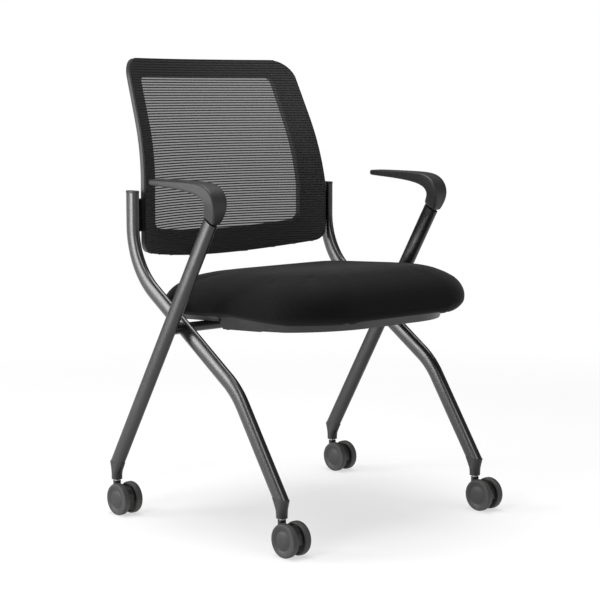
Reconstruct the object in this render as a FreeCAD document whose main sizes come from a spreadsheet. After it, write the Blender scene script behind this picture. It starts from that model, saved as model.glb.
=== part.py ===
# Nesting chair: a flip-up seat and a mesh back on two crossed side frames, standing on four
# twin-wheel casters. Millimetres, +Z up, the sitter faces -Y. The origin lies on the floor,
# midway between the four caster stems.
import FreeCAD, Part
import math
import os
import Sketcher
from FreeCAD import Placement, Rotation, Vector

doc = FreeCAD.newDocument("NestingChair")
sheet = doc.addObject("Spreadsheet::Sheet", "Dimensions")

DIMENSIONS = [
    # casters
    ("wheel_diameter", 60, "caster wheel over its tyre"),
    ("wheel_width", 13, "one of a caster's two wheels"),
    ("wheel_gap", 15.6, "space between a caster's two wheels"),
    ("axle_diameter", 6, "caster axle"),
    ("axle_grip", 10, "depth of the axle in each hub"),
    ("caster_trail", 24, "axle in front of the swivel stem"),
    ("fork_diameter", 46, "round web between the wheels"),
    ("boss_diameter", 14.6, "swivel boss of the caster body"),
    ("boss_bottom", 30, "underside of the swivel boss"),
    ("boss_top", 60, "top of the swivel boss"),
    ("stem_diameter", 8, "caster stem"),
    ("stem_top", 86, "upper end of the caster stem"),
    ("running_clearance", 0.05, "radial play of shafts in their bores"),
    ("side_clearance", 0.7, "play between a wheel and the web"),
    # base
    ("caster_base", 432.4, "front stems to rear stems"),
    ("front_leg_x", 246.5, "middle plane of the front leg tube"),
    ("rear_foot_x", 279.6, "rear leg tube at the floor end"),
    ("rear_top_x", 277.5, "rear leg tube at the armrest"),
    ("socket_bottom", 63, "underside of the caster sockets"),
    ("socket_top", 96, "seat of the leg tubes in the sockets"),
    ("socket_lip", 0.5, "socket edge outside the tube"),
    ("socket_length", 39.5, "socket at the tube, fore and aft"),
    ("socket_step", 76, "where the socket turns round"),
    ("socket_waist", 21, "oval where the socket turns round"),
    ("socket_neck", 19, "round lower end of the socket"),
    # tubes
    ("tube_depth", 32, "flat-oval tube, wide way"),
    ("tube_width", 16, "flat-oval tube, narrow way"),
    ("tube_wall", 1.5, "wall of all tubes"),
    ("plug_clearance", 0.2, "plugs inside the tube bores"),
    ("foot_inset", 2.6, "front tube's foot behind its stem"),
    ("upright_y", 201, "back upright"),
    ("upright_top", 603, "top end of the back upright"),
    ("upper_bend_z", 465.5, "corner of upright and leg"),
    ("upper_bend_radius", 142, "bend of the upright"),
    ("lower_bend_y", -97.5, "corner in the front leg, fore and aft"),
    ("lower_bend_z", 268, "corner in the front leg, height"),
    ("lower_bend_radius", 148, "bend of the front leg"),
    ("cap_height", 4, "end cap above the upright"),
    ("joint_y", -66, "top of the rear leg tube, fore and aft"),
    ("joint_z", 565, "top of the rear leg tube, height"),
    ("cross_tube_diameter", 18, "tube between the side frames"),
    ("cross_tube_y", 50, "cross tube, fore and aft"),
    ("spacer_diameter", 22, "boss where the side tubes cross"),
    # armrests
    ("arm_width", 38, "arm pad, across"),
    ("arm_foot_width", 18, "arm where it meets the tube"),
    ("arm_top", 635.3, "top of the arm pad"),
    ("arm_tip_y", 94, "rear tip of the arm pad"),
    ("arm_tip_thickness", 10, "pad at its rear tip"),
    ("arm_nose_y", -95.4, "front of the arm"),
    ("arm_inner_y", -70.5, "rear face of the arm's drop"),
    ("arm_inner_drop", 18.5, "pad at its front, above the drop"),
    ("arm_nose_radius", 36, "round front corner"),
    ("arm_inner_radius", 22, "round inner corner"),
    ("arm_edge_radius", 3, "rounding along the pad's edges"),
    ("tenon_length", 50, "arm tenon inside the tube"),
    # backrest
    ("back_half_width", 229.5, "half the back, at the uprights"),
    ("back_top_half_width", 205, "half the back, at its top edge"),
    ("back_bottom", 491, "lower corners of the back"),
    ("back_top", 854, "top edge of the back"),
    ("back_shoulder_z", 600, "height where the sides start to draw in"),
    ("back_top_radius", 42, "upper corners"),
    ("back_bottom_radius", 20, "lower corners"),
    ("back_hollow_radius", 400, "hollow of the back, from side to side"),
    ("back_centre_y", 255.5, "middle of the mesh, lower part"),
    ("back_bend_z", 660, "corner of the back in side view"),
    ("back_bend_radius", 350, "bend of the back in side view"),
    ("back_lean", 20.3, "lean of the upper back, degrees"),
    ("window_radius", 14, "corners of the window"),
    ("window_top", 818, "top of the window"),
    ("window_bottom", 533, "bottom corners of the window"),
    ("window_half_width", 184, "half the window, at the uprights"),
    ("window_top_half_width", 167, "half the window, at its top"),
    ("bottom_bow", 13.5, "how far the lower edges bow down in the middle"),
    ("bow_radius", 3200, "bow of the lower edges"),
    ("back_frame_thickness", 13, "moulded back frame"),
    ("mesh_thickness", 1.6, "stretched mesh"),
    ("bracket_height", 60, "steel block between upright and back"),
    ("bracket_z", 530, "underside of the steel block"),
    ("bracket_inner_x", 196, "inner end of the steel block"),
    ("bracket_rear_y", 226, "rear face of the steel block"),
    # seat, in its own frame with the hinge as origin
    ("seat_tilt", 3, "seat slope, front up, degrees"),
    ("pan_front", -300, "front of the pan"),
    ("pan_rear", 62, "rear of the pan"),
    ("pan_half_width", 213, "half the pan"),
    ("pan_top", 19.5, "face that carries the cushion"),
    ("pan_plate", 4, "thickness of the pan's plate"),
    ("pan_lip", 8.5, "depth of the rim at the rear"),
    ("pan_depth", 23.5, "depth of the skirt in front of the hinge"),
    ("pan_wall", 3, "skirt and ribs"),
    ("pan_draft", 9, "skirt drawn in towards the bottom"),
    ("pan_radius", 60, "front corners of the pan"),
    ("skirt_rear", -56, "rear wall of the deep skirt"),
    ("rib_x", 150, "outer rib under the pan"),
    ("rib_depth", 11, "ribs under the pan's plate"),
    ("scoop_y", -178, "finger scoop in the side skirt"),
    ("scoop_length", 40, "length of the finger scoop"),
    ("scoop_height", 12, "height of the finger scoop"),
    ("cushion_front", -318, "front of the cushion"),
    ("cushion_rear", 126, "rear of the cushion"),
    ("cushion_half_width", 226, "half the cushion at its fullest"),
    ("cushion_height", 76, "cushion, from the pan to its crown"),
    ("cushion_front_radius", 88, "front corners in plan"),
    ("cushion_rear_radius", 60, "rear corners in plan"),
    ("board_thickness", 11, "plywood inside the cushion"),
    ("board_inset", 34, "board inside the cushion's edge"),
    ("soft_gap", 0.3, "play round the board"),
    ("clamp_wall", 3, "flange of the hinge clamp"),
    ("clamp_ring", 5.2, "hinge clamp round the cross tube, bush included"),
    ("clamp_width", 30, "hinge clamp, across"),
    ("clamp_x", 130, "hinge clamp, from the middle"),
    ("clamp_flange", 62, "hinge clamp, fore and aft"),
    ("stop_x", 78, "stop arm, from the middle"),
    ("stop_reach", 150, "stop arm in front of the hinge"),
    ("stop_thickness", 6, "stop arm"),
    ("stop_ring", 5, "stop arm's ring round the cross tube"),
    ("bumper_side", 20, "rubber bumper on the stop arm"),
    ("bumper_height", 5, "rubber bumper"),
    ("bumper_gap", 0.2, "bumper under the pan"),
]
for row, (name, value, what) in enumerate(DIMENSIONS, 1):
    sheet.set(f"A{row}", what)
    sheet.set(f"B{row}", str(value))
    sheet.setAlias(f"B{row}", name)
doc.recompute()


class Size:
    """A number together with the sheet formula that it comes from."""

    def __init__(self, value, text):
        self.value = value
        self.text = text

    def __add__(self, other):
        return Size(self.value + number(other), f"({self.text} + {words(other)})")

    def __radd__(self, other):
        return Size(number(other) + self.value, f"({words(other)} + {self.text})")

    def __sub__(self, other):
        return Size(self.value - number(other), f"({self.text} - {words(other)})")

    def __rsub__(self, other):
        return Size(number(other) - self.value, f"({words(other)} - {self.text})")

    def __mul__(self, other):
        return Size(self.value * number(other), f"({self.text} * {words(other)})")

    def __rmul__(self, other):
        return Size(number(other) * self.value, f"({words(other)} * {self.text})")

    def __truediv__(self, other):
        return Size(self.value / number(other), f"({self.text} / {words(other)})")

    def __neg__(self):
        return Size(-self.value, f"(0 - {self.text})")


def number(size):
    return size.value if isinstance(size, Size) else float(size)


def words(size):
    return size.text if isinstance(size, Size) else f"({float(size):g})"


def root(size):
    return Size(math.sqrt(size.value), f"sqrt({size.text})")


class Sizes:
    """Reads the driving dimensions by name."""

    def __getattr__(self, name):
        return Size(float(sheet.get(name)), f"Dimensions.{name}")


S = Sizes()
parts = {}


def bind(item, prop, size):
    """Sets one property of an object and ties it to the sheet."""
    item.setExpression(prop, words(size))


def place(item, x=0, y=0, z=0, rotation=Rotation()):
    """Puts an object at a place that follows the sheet."""
    item.Placement = Placement(Vector(number(x), number(y), number(z)), rotation)
    for axis, size in (("x", x), ("y", y), ("z", z)):
        bind(item, f"Placement.Base.{axis}", size)


def keep(name, item):
    """Registers a finished sub-part under the name of its file."""
    item.Label = name
    parts[name] = item
    return item


def new_body(name):
    return doc.addObject("PartDesign::Body", name)


def origin_item(body, role):
    return next(item for item in body.Origin.OriginFeatures if item.Role == role)


def new_sketch(body, plane, offset=0, turn=Rotation()):
    """A sketch on one of the body's own origin planes, or parallel to it."""
    sketch = body.newObject("Sketcher::SketchObject", "Sketch")
    sketch.AttachmentSupport = (origin_item(body, plane), [""])
    sketch.MapMode = "FlatFace"
    sketch.AttachmentOffset = Placement(Vector(0, 0, number(offset)), turn)
    if isinstance(offset, Size):
        bind(sketch, "AttachmentOffset.Base.z", offset)
    return sketch


def fix(sketch, kind, size, *place_in_sketch):
    """Adds a constraint with a value that follows the sheet."""
    index = sketch.addConstraint(Sketcher.Constraint(kind, *place_in_sketch, number(size)))
    sketch.setExpression(f"Constraints[{index}]", words(size))


def locate(sketch, geometry, point, x, y):
    """Pins a point of the sketch; a zero puts it on the axis itself."""
    if number(x) == 0 and number(y) == 0:
        sketch.addConstraint(Sketcher.Constraint("Coincident", geometry, point, -1, 1))
        return
    for kind, size, axis in (("DistanceX", x, -2), ("DistanceY", y, -1)):
        if number(size) == 0:
            sketch.addConstraint(Sketcher.Constraint("PointOnObject", geometry, point, axis))
        else:
            fix(sketch, kind, size, -1, 1, geometry, point)


def circle(sketch, x, y, diameter):
    centre = Vector(number(x), number(y), 0)
    ring = sketch.addGeometry(Part.Circle(centre, Vector(0, 0, 1), number(diameter) / 2))
    locate(sketch, ring, 3, x, y)
    fix(sketch, "Diameter", diameter, ring)


def arc_between(centre, start, end, left_turn):
    """The arc of a rounded corner, counter-clockwise as sketches keep their arcs."""
    first, last = (start, end) if left_turn else (end, start)
    angles = [math.atan2(p.y - centre.y, p.x - centre.x) for p in (first, last)]
    ring = Part.Circle(centre, Vector(0, 0, 1), (start - centre).Length)
    return Part.ArcOfCircle(ring, angles[0], angles[1])


def outline(sketch, corners, closed=True):
    """Lines from corner to corner. A corner is (x, y) or (x, y, radius)."""
    points = [Vector(number(corner[0]), number(corner[1]), 0) for corner in corners]
    count = len(corners)
    ends = []
    for i, corner in enumerate(corners):
        reach = [Vector(), Vector()]
        if len(corner) == 3:
            sides = [(points[(i + step) % count] - points[i]).normalize() for step in (-1, 1)]
            half_angle = sides[0].getAngle(sides[1]) / 2
            reach = [side * (number(corner[2]) / math.tan(half_angle)) for side in sides]
        ends.append([points[i] + step for step in reach])
    line_count = count if closed else count - 1
    lines = []
    for i in range(line_count):
        segment = Part.LineSegment(ends[i][1], ends[(i + 1) % count][0])
        lines.append(sketch.addGeometry(segment))
    for i, corner in enumerate(corners):
        if not closed and i in (0, count - 1):
            locate(sketch, lines[0 if i == 0 else -1], 1 if i == 0 else 2, corner[0], corner[1])
            continue
        before, after = lines[i - 1], lines[i]
        if len(corner) == 2:
            sketch.addConstraint(Sketcher.Constraint("Coincident", before, 2, after, 1))
            locate(sketch, after, 1, corner[0], corner[1])
            continue
        start, end = ends[i]
        middle = (start + end) / 2 - points[i]
        depth = (start - points[i]).Length ** 2 / middle.Length
        centre = points[i] + middle.normalize() * depth
        left_turn = (points[i] - start).cross(end - points[i]).z > 0
        bend = sketch.addGeometry(arc_between(centre, start, end, left_turn))
        first, last = (1, 2) if left_turn else (2, 1)
        sketch.addConstraint(Sketcher.Constraint("Tangent", before, 2, bend, first))
        sketch.addConstraint(Sketcher.Constraint("Tangent", bend, last, after, 1))
        fix(sketch, "Radius", corner[2], bend)
        mark = sketch.addGeometry(Part.Point(points[i]), True)
        locate(sketch, mark, 1, corner[0], corner[1])
        for line in (before, after):
            sketch.addConstraint(Sketcher.Constraint("PointOnObject", mark, 1, line))


def slot(sketch, length, width, shift=0):
    """A flat oval on the sketch's X axis, its long way along it, shifted from the origin."""
    radius = number(width) / 2
    reach, move = number(length) / 2 - radius, number(shift)
    arcs = []
    for side, start in ((1, -math.pi / 2), (-1, math.pi / 2)):
        ring = Part.Circle(Vector(move + side * reach, 0, 0), Vector(0, 0, 1), radius)
        arcs.append(sketch.addGeometry(Part.ArcOfCircle(ring, start, start + math.pi)))
        sketch.addConstraint(Sketcher.Constraint("PointOnObject", arcs[-1], 3, -1))
        fix(sketch, "DistanceX", side * (length - width) / 2 + shift, -1, 1, arcs[-1], 3)
    fix(sketch, "Radius", width / 2, arcs[0])
    sketch.addConstraint(Sketcher.Constraint("Equal", arcs[0], arcs[1]))
    for side in (1, -1):
        start = Vector(move + side * reach, side * radius, 0)
        end = Vector(move - side * reach, side * radius, 0)
        line = sketch.addGeometry(Part.LineSegment(start, end))
        first, last = arcs if side == 1 else arcs[::-1]
        sketch.addConstraint(Sketcher.Constraint("Tangent", first, 2, line, 1))
        sketch.addConstraint(Sketcher.Constraint("Tangent", line, 2, last, 1))


def arc_band(sketch, radius, thickness, half_width):
    """Part of a ring about the sketch's origin, on the far side, up to a half width."""
    angle = math.asin(number(half_width) / number(radius + thickness))
    arcs = []
    for size in (radius, radius + thickness):
        ring = Part.Circle(Vector(), Vector(0, 0, 1), number(size))
        span = (math.pi / 2 - angle, math.pi / 2 + angle)
        arcs.append(sketch.addGeometry(Part.ArcOfCircle(ring, *span)))
        sketch.addConstraint(Sketcher.Constraint("Coincident", arcs[-1], 3, -1, 1))
        fix(sketch, "Radius", size, arcs[-1])
    for end, side in ((1, 1), (2, -1)):
        near, far = [sketch.getPoint(arc, end) for arc in arcs]
        line = sketch.addGeometry(Part.LineSegment(near, far))
        sketch.addConstraint(Sketcher.Constraint("Coincident", line, 1, arcs[0], end))
        sketch.addConstraint(Sketcher.Constraint("Coincident", line, 2, arcs[1], end))
        sketch.addConstraint(Sketcher.Constraint("PointOnObject", -1, 1, line))
        fix(sketch, "DistanceX", side * half_width, -1, 1, arcs[1], end)


def tube_section(sketch):
    """The flat-oval tube: half-round narrow sides outside, an eight-sided bore inside."""
    slot(sketch, S.tube_depth, S.tube_width)
    flat, inner = (S.tube_depth - S.tube_width) / 2, S.tube_width / 2 - S.tube_wall
    far, low = flat + inner * math.cos(math.pi / 6), inner / 2
    outline(sketch, [(flat, inner), (-flat, inner), (-far, low), (-far, -low),
                     (-flat, -inner), (flat, -inner), (far, -low), (far, low)])


def plug_section(sketch):
    """A plain plug that slides into the tube's bore."""
    half = (S.tube_depth - S.tube_width) / 2
    rise = S.tube_width / 2 - S.tube_wall - S.plug_clearance
    outline(sketch, [(half, rise), (-half, rise), (-half, -rise), (half, -rise)])


def pad(body, sketch, length, midplane=False, reverse=False):
    feature = body.newObject("PartDesign::Pad", "Pad")
    feature.Profile = sketch
    bind(feature, "Length", length)
    feature.SideType = "Symmetric" if midplane else "One side"
    feature.Reversed = reverse
    return feature


def pocket(body, sketch, length=None, midplane=False, reverse=False):
    """Cuts to the given depth, or right through both ways where no depth is given."""
    feature = body.newObject("PartDesign::Pocket", "Pocket")
    feature.Profile = sketch
    if length is None:
        feature.SideType = "Symmetric"
        feature.Type = "ThroughAll"
    else:
        feature.SideType = "Symmetric" if midplane else "One side"
        bind(feature, "Length", length)
    feature.Reversed = reverse
    return feature


def revolve(body, sketch, axis):
    feature = body.newObject("PartDesign::Revolution", "Revolution")
    feature.Profile = sketch
    feature.ReferenceAxis = (sketch, [axis])
    feature.Angle = 360
    return feature


def pipe(body, profile, spine, mode="Standard"):
    feature = body.newObject("PartDesign::AdditivePipe", "Pipe")
    feature.Profile = profile
    feature.Spine = spine
    feature.Mode = mode
    return feature


def loft(body, sketches, cut=False):
    kind = "PartDesign::SubtractiveLoft" if cut else "PartDesign::AdditiveLoft"
    feature = body.newObject(kind, "Loft")
    feature.Profile = sketches[0]
    feature.Sections = sketches[1:]
    return feature


def mirrored(name, source):
    """The same piece on the sitter's right, across the middle plane."""
    twin = doc.addObject("Part::Mirroring", name)
    twin.Source = source
    twin.Normal = Vector(1, 0, 0)
    return keep(name, twin)


def joined(kind, name, base, tool):
    feature = doc.addObject(f"Part::{kind}", name)
    feature.Base = base
    feature.Tool = tool
    return feature


LONG_WAY_Y = Rotation(Vector(0, 0, 1), 90)
ALONG_X = Rotation(Vector(0, 1, 0), 90)

# where the side tubes run and cross, seen from the side
front_foot_y = -(S.caster_base / 2 - S.foot_inset)
rear_foot_y = S.caster_base / 2 - S.foot_inset
front_rise = (S.upper_bend_z - S.lower_bend_z) / (S.upright_y - S.lower_bend_y)
rear_rise = (S.joint_z - S.socket_top) / (rear_foot_y - S.joint_y)
crossing_y = ((S.socket_top + rear_rise * rear_foot_y - S.upper_bend_z
               + front_rise * S.upright_y) / (front_rise + rear_rise))
crossing_z = S.upper_bend_z - front_rise * (S.upright_y - crossing_y)
cross_tube_z = S.upper_bend_z - front_rise * (S.upright_y - S.cross_tube_y)
leg_face_x = S.front_leg_x - S.tube_width / 2


# Caster socket, moulded on the tube's foot: oval at the tube, round at the stem.
def socket(x, y, inwards):
    body = new_body("socket")
    place(body, x, y, 0)
    foot = new_sketch(body, "XY_Plane", S.socket_top, LONG_WAY_Y)
    slot(foot, S.socket_length, S.tube_width + 2 * S.socket_lip, inwards * S.foot_inset)
    waist = new_sketch(body, "XY_Plane", S.socket_step, LONG_WAY_Y)
    slot(waist, S.socket_waist, S.socket_neck)
    loft(body, [foot, waist])
    neck = new_sketch(body, "XY_Plane", S.socket_bottom)
    circle(neck, 0, 0, S.socket_neck)
    pad(body, neck, S.socket_step - S.socket_bottom)
    bore = new_sketch(body, "XY_Plane", S.socket_bottom)
    circle(bore, 0, 0, S.stem_diameter + 2 * S.running_clearance)
    pocket(body, bore, S.stem_top - S.socket_bottom + S.side_clearance, reverse=True)
    return body


crossing_part = (crossing_z - S.socket_top) / (S.joint_z - S.socket_top)
rear_leg_slope = (S.rear_foot_x - S.rear_top_x) / (S.joint_z - S.socket_top)
spacer_length = (S.rear_foot_x - (S.rear_foot_x - S.rear_top_x) * crossing_part - S.front_leg_x
                 - S.tube_width - rear_leg_slope * S.spacer_diameter / 2)


# Front leg and back upright: one bent flat-oval tube a side, with the round boss that is
# welded to the rear leg where the two cross, and a plastic cap on the upright's end.
def front_leg():
    body = new_body("front_leg_left")
    place(body, S.front_leg_x, S.upright_y, 0)
    profile = new_sketch(body, "XY_Plane", S.upright_top, LONG_WAY_Y)
    tube_section(profile)
    spine = new_sketch(body, "YZ_Plane")
    drop = S.lower_bend_z - S.socket_top
    run = front_foot_y - S.lower_bend_y
    outline(spine, [
        (0, S.upright_top),
        (0, S.upper_bend_z, S.upper_bend_radius),
        (S.lower_bend_y - S.upright_y, S.lower_bend_z, S.lower_bend_radius),
        (front_foot_y - S.upright_y + run / drop * S.tube_depth, S.socket_top - S.tube_depth),
    ], closed=False)
    pipe(body, profile, spine)
    trim = new_sketch(body, "XY_Plane", S.socket_top)
    reach = S.caster_base + 2 * S.tube_depth
    outline(trim, [(-S.tube_depth, -reach), (S.tube_depth, -reach),
                   (S.tube_depth, 0), (-S.tube_depth, 0)])
    pocket(body, trim, 3 * S.tube_depth)
    boss = new_sketch(body, "YZ_Plane", S.tube_width / 2)
    circle(boss, crossing_y - S.upright_y, crossing_z, S.spacer_diameter)
    pad(body, boss, spacer_length)
    cap = new_sketch(body, "XY_Plane", S.upright_top, LONG_WAY_Y)
    slot(cap, S.tube_depth, S.tube_width)
    pad(body, cap, S.cap_height)
    return body


front_socket = socket(S.front_leg_x, 0 - S.caster_base / 2, 1)
front = keep("front_leg_left", joined("Fuse", "front_leg_left", front_leg(), front_socket))
mirrored("front_leg_right", front)


# Rear leg and arm post: one straight flat-oval tube a side, outside the bent one.
rear_top = Vector(number(S.rear_top_x), number(S.joint_y), number(S.joint_z))
rear_foot = Vector(number(S.rear_foot_x), number(rear_foot_y), number(S.socket_top))
rear_axis = (rear_top - rear_foot).normalize()
rear_length = root((S.rear_top_x - S.rear_foot_x) * (S.rear_top_x - S.rear_foot_x)
                   + (S.joint_y - rear_foot_y) * (S.joint_y - rear_foot_y)
                   + (S.joint_z - S.socket_top) * (S.joint_z - S.socket_top))
rear_turn = Rotation(Vector(1, 0, 0), Vector(0, 1, 0), rear_axis, "ZXY")


def rear_leg():
    body = new_body("rear_leg_tube")
    place(body, S.rear_top_x, S.joint_y, S.joint_z, rear_turn)
    profile = new_sketch(body, "XY_Plane", 0, LONG_WAY_Y)
    tube_section(profile)
    pad(body, profile, rear_length + S.tube_depth, reverse=True)
    floor = doc.addObject("Part::Box", "rear_leg_trim")
    for side in ("Length", "Width", "Height"):
        bind(floor, side, 3 * S.tube_depth)
    place(floor, S.rear_foot_x - 1.5 * S.tube_depth, rear_foot_y - 1.5 * S.tube_depth,
          S.socket_top - 3 * S.tube_depth)
    return joined("Cut", "rear_leg_trimmed", body, floor)


rear_socket = socket(S.rear_foot_x, S.caster_base / 2, -1)
rear = keep("rear_leg_left", joined("Fuse", "rear_leg_left", rear_leg(), rear_socket))
mirrored("rear_leg_right", rear)


# Cross tube between the two front legs: the seat's hinge pin, with two stop arms welded on.
# The arms carry the lowered seat on rubber bumpers.
def cross_tube():
    body = new_body("cross_tube")
    place(body, 0, S.cross_tube_y, cross_tube_z)
    profile = new_sketch(body, "YZ_Plane")
    circle(profile, 0, 0, S.cross_tube_diameter)
    pad(body, profile, 2 * leg_face_x, midplane=True)
    lean = Rotation(Vector(0, 0, 1), -number(S.seat_tilt))
    for middle in (-S.stop_x, S.stop_x):
        ring = new_sketch(body, "YZ_Plane", middle - S.stop_thickness / 2)
        circle(ring, 0, 0, S.cross_tube_diameter + 2 * S.stop_ring)
        pad(body, ring, S.stop_thickness)
        arm = new_sketch(body, "YZ_Plane", middle - S.stop_thickness / 2, lean)
        tip = -S.stop_reach - S.bumper_side / 2
        outline(arm, [(0, stop_top), (tip, stop_top), (tip, stop_top - S.stop_thickness),
                      (0, -S.cross_tube_diameter / 2 - S.clamp_wall)])
        pad(body, arm, S.stop_thickness)
    bore = new_sketch(body, "YZ_Plane")
    circle(bore, 0, 0, S.cross_tube_diameter - 2 * S.tube_wall)
    pocket(body, bore)
    return keep("cross_tube", body)


stop_top = S.pan_top - S.pan_plate - S.bumper_gap - S.bumper_height
cross_tube()


# Caster fork: a half-round hood between the wheels that carries the axle, the swivel boss
# behind it and the steel stem that turns in the socket.
def caster_fork(name, x, y):
    body = new_body(name)
    place(body, x, y, 0)
    half = S.fork_diameter / 2
    hood = new_sketch(body, "YZ_Plane")
    low = S.wheel_diameter / 2 - S.axle_diameter
    outline(hood, [
        (-S.caster_trail - half, low), (0, low), (0, S.wheel_diameter / 2 + half),
        (-S.caster_trail - half, S.wheel_diameter / 2 + half, half)])
    pad(body, hood, S.wheel_gap - 2 * S.side_clearance, midplane=True)
    boss = new_sketch(body, "XY_Plane", S.boss_bottom)
    circle(boss, 0, 0, S.boss_diameter)
    pad(body, boss, S.boss_top - S.boss_bottom)
    stem = new_sketch(body, "XY_Plane", S.boss_top)
    circle(stem, 0, 0, S.stem_diameter)
    pad(body, stem, S.stem_top - S.boss_top)
    axle = new_sketch(body, "YZ_Plane")
    circle(axle, -S.caster_trail, S.wheel_diameter / 2, S.axle_diameter)
    pad(body, axle, S.wheel_gap + 2 * (S.axle_grip - S.side_clearance), midplane=True)
    return keep(name, body)


# One wheel: a moulded disc with a soft tread and a blind bore.
def wheel(name, x, y, outward):
    turn = Rotation() if outward == 1 else Rotation(Vector(0, 0, 1), 180)
    body = new_body(name)
    place(body, x + outward * S.wheel_gap / 2, y - S.caster_trail, S.wheel_diameter / 2, turn)
    section = new_sketch(body, "XZ_Plane")
    tread = S.wheel_diameter / 2
    bore = S.axle_diameter / 2 + S.running_clearance
    outline(section, [
        (S.axle_grip, 0), (S.wheel_width, 0), (S.wheel_width, tread), (0, tread), (0, bore),
        (S.axle_grip, bore)])
    revolve(body, section, "H_Axis")
    return keep(name, body)


for end, place_y, stem_x in (("front", -S.caster_base / 2, S.front_leg_x),
                             ("rear", S.caster_base / 2, S.rear_foot_x)):
    for side, sign in (("left", 1), ("right", -1)):
        caster_fork(f"{end}_{side}_fork", sign * stem_x, place_y)
        wheel(f"{end}_{side}_outer_wheel", sign * stem_x, place_y, sign)
        wheel(f"{end}_{side}_inner_wheel", sign * stem_x, place_y, -sign)


# Armrest: one moulding, a flat pad that turns down at the front and narrows to the tube,
# with a tenon inside the tube's top.
def armrest():
    body = new_body("armrest_body")
    place(body, S.rear_top_x, 0, 0)
    side = new_sketch(body, "YZ_Plane")
    half = S.tube_depth / 2
    seat_z = S.joint_z + S.plug_clearance
    foot_rear = (S.joint_y + half * rear_axis.z, seat_z - half * rear_axis.y)
    foot_front = (S.joint_y - half * rear_axis.z, seat_z + half * rear_axis.y)
    tip_under = S.arm_top - S.arm_tip_thickness - S.arm_edge_radius
    outline(side, [
        (S.arm_tip_y, S.arm_top - S.arm_edge_radius, S.arm_edge_radius),
        (S.arm_nose_y, S.arm_top, S.arm_nose_radius),
        (S.arm_nose_y + 1, S.arm_top - S.arm_nose_radius - S.arm_edge_radius),
        foot_front, foot_rear,
        (S.arm_inner_y, S.arm_top - S.arm_inner_drop, S.arm_inner_radius),
        (S.arm_tip_y - S.arm_edge_radius, tip_under, S.arm_edge_radius)])
    pad(body, side, S.arm_width, midplane=True)
    for sign in (1, -1):
        taper = new_sketch(body, "XZ_Plane")
        foot, full = sign * S.arm_foot_width / 2, sign * S.arm_width / 2
        outline(taper, [
            (foot, S.joint_z - S.tube_depth), (foot, S.joint_z),
            (full, S.joint_z + 1.5 * S.tube_depth), (2 * full, S.joint_z + 1.5 * S.tube_depth),
            (2 * full, S.joint_z - S.tube_depth)][::sign])
        pocket(body, taper)
    return body


arm_body = armrest()
arm_tenon = new_body("arm_tenon")
place(arm_tenon, S.rear_top_x, S.joint_y, S.joint_z, rear_turn)
tenon_profile = new_sketch(arm_tenon, "XY_Plane", S.cap_height, LONG_WAY_Y)
plug_section(tenon_profile)
pad(arm_tenon, tenon_profile, S.tenon_length + S.cap_height, reverse=True)
mirrored("armrest_right", keep("armrest_left", joined("Fuse", "armrest_left", arm_body, arm_tenon)))


# Seat frame of reference: the hinge, with the seat's slope.
seat_slope = Rotation(Vector(1, 0, 0), -number(S.seat_tilt))


def in_seat(item, x=0, v=0, w=0, rotation=Rotation()):
    """Places an object by its seat coordinates: across, fore and aft, up."""
    slope = f"{words(S.seat_tilt)} * 1deg"
    y = Size(0, "0") + S.cross_tube_y
    back, up = Size(number(v), words(v)), Size(number(w), words(w))
    lean = number(S.seat_tilt) * math.pi / 180
    cos, sin = Size(math.cos(lean), f"cos({slope})"), Size(math.sin(lean), f"sin({slope})")
    place(item, x, y + back * cos + up * sin, cross_tube_z + up * cos - back * sin,
          seat_slope.multiply(rotation))


# Moulded pan: plate, skirt with draft, ribs, finger scoops and notches for the stop arms.
def seat_pan():
    body = new_body("seat_pan")
    in_seat(body)
    wall, bottom = S.pan_wall, S.pan_top - S.pan_depth

    def skirt(level, inset, wall_inset):
        half = S.pan_half_width - inset - wall_inset
        front, radius = S.pan_front + inset + wall_inset, S.pan_radius - inset - wall_inset
        rear = S.skirt_rear - wall_inset
        sketch = new_sketch(body, "XY_Plane", level)
        outline(sketch, [(half, rear), (-half, rear), (-half, front, radius), (half, front, radius)])
        return sketch

    loft(body, [skirt(S.pan_top, 0, 0), skirt(bottom, S.pan_draft, 0)])
    deck = new_sketch(body, "XY_Plane", S.pan_top)
    outline(deck, [(S.pan_half_width, S.skirt_rear - wall), (S.pan_half_width, S.pan_rear, S.pan_lip),
                   (-S.pan_half_width, S.pan_rear, S.pan_lip),
                   (-S.pan_half_width, S.skirt_rear - wall)])
    pad(body, deck, S.pan_lip, reverse=True)
    ceiling = S.pan_top - S.pan_plate
    draft_there = S.pan_draft * S.pan_plate / S.pan_depth
    loft(body, [skirt(ceiling, draft_there, wall), skirt(bottom, S.pan_draft, wall)], cut=True)
    well = new_sketch(body, "XY_Plane", S.pan_top - S.pan_lip)
    half, rear = S.pan_half_width - wall, S.pan_rear - wall
    outline(well, [(half, S.skirt_rear), (half, rear), (-half, rear), (-half, S.skirt_rear)])
    pocket(body, well, S.pan_lip - S.pan_plate, reverse=True)
    ribs = new_sketch(body, "XY_Plane", ceiling)
    for middle in (-S.rib_x, -S.rib_x / 4, S.rib_x / 4, S.rib_x):
        left, right = middle - wall / 2, middle + wall / 2
        front, back = S.pan_front + S.pan_draft, S.skirt_rear - wall / 2
        outline(ribs, [(left, front), (right, front), (right, back), (left, back)])
    pad(body, ribs, S.rib_depth, reverse=True)
    scoop = new_sketch(body, "YZ_Plane")
    front, rear = S.scoop_y - S.scoop_length / 2, S.scoop_y + S.scoop_length / 2
    outline(scoop, [(front, bottom - wall), (rear, bottom - wall),
                    (rear, bottom + S.scoop_height, wall), (front, bottom + S.scoop_height, wall)])
    pocket(body, scoop)
    return body


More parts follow.
